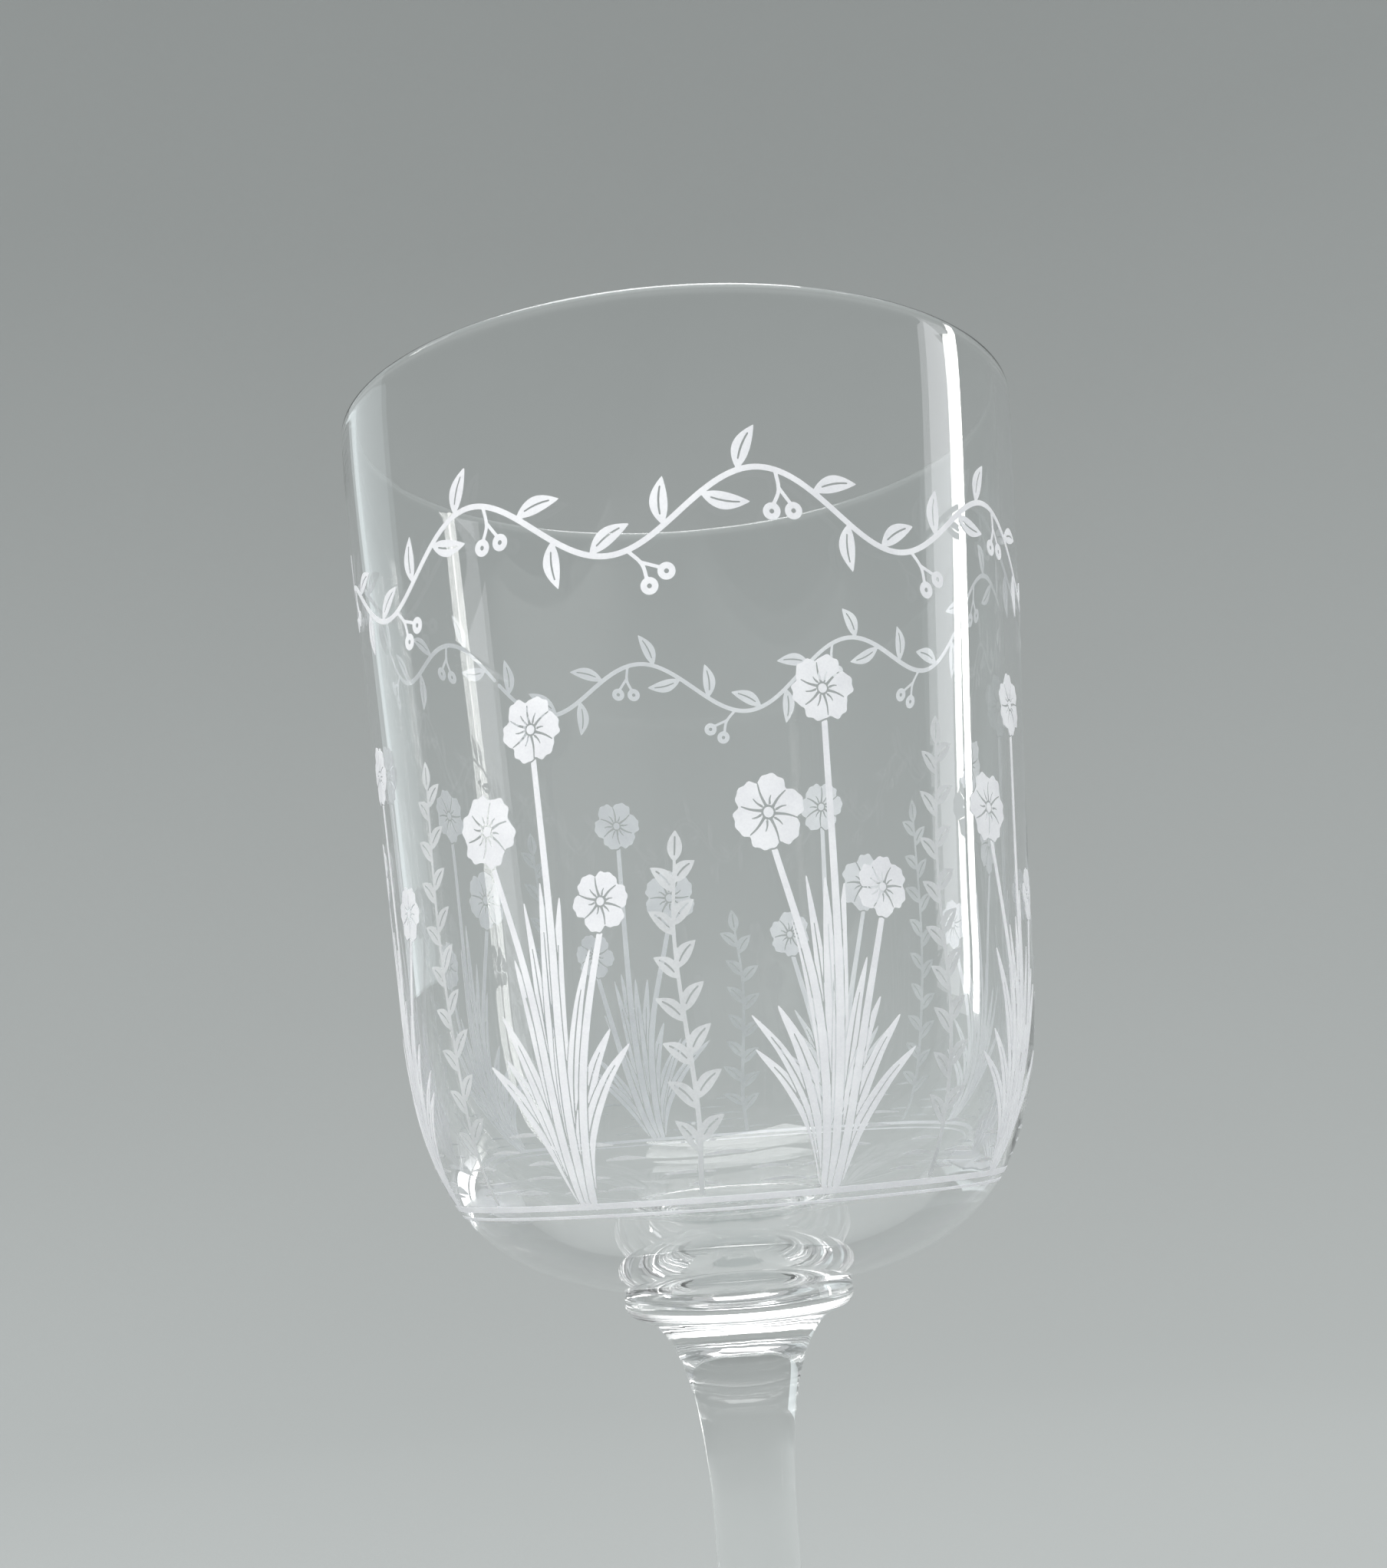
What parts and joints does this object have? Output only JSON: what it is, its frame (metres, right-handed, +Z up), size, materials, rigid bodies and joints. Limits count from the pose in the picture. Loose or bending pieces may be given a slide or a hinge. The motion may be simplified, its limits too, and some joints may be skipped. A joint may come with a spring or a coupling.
{
  "type": "wine glass",
  "caption": "Clear stemmed drinking glass: a deep bowl with a rounded base and matt etched decoration, a small collar disc, a solid round stem and a round foot.",
  "frame": {"origin": "centre of the flat ring that the foot stands on", "axes": "+Z up along the axis of the glass, from the foot to the rim; -Y is the side that faces the viewer, and +X is the viewer's right"},
  "size_m": [0.066, 0.066, 0.15],
  "materials": {
    "bowl_glass": "clear, fire-polished, very slightly wavy",
    "stem_glass": "clear, polished, solid",
    "etched_glass": "acid-etched, matt white, on the outside of the bowl"
  },
  "bodies": {
    "root": {"bowl": "bowl_glass", "collar": "stem_glass", "stem": "stem_glass", "foot": "stem_glass"}
  },
  "joints": []
}
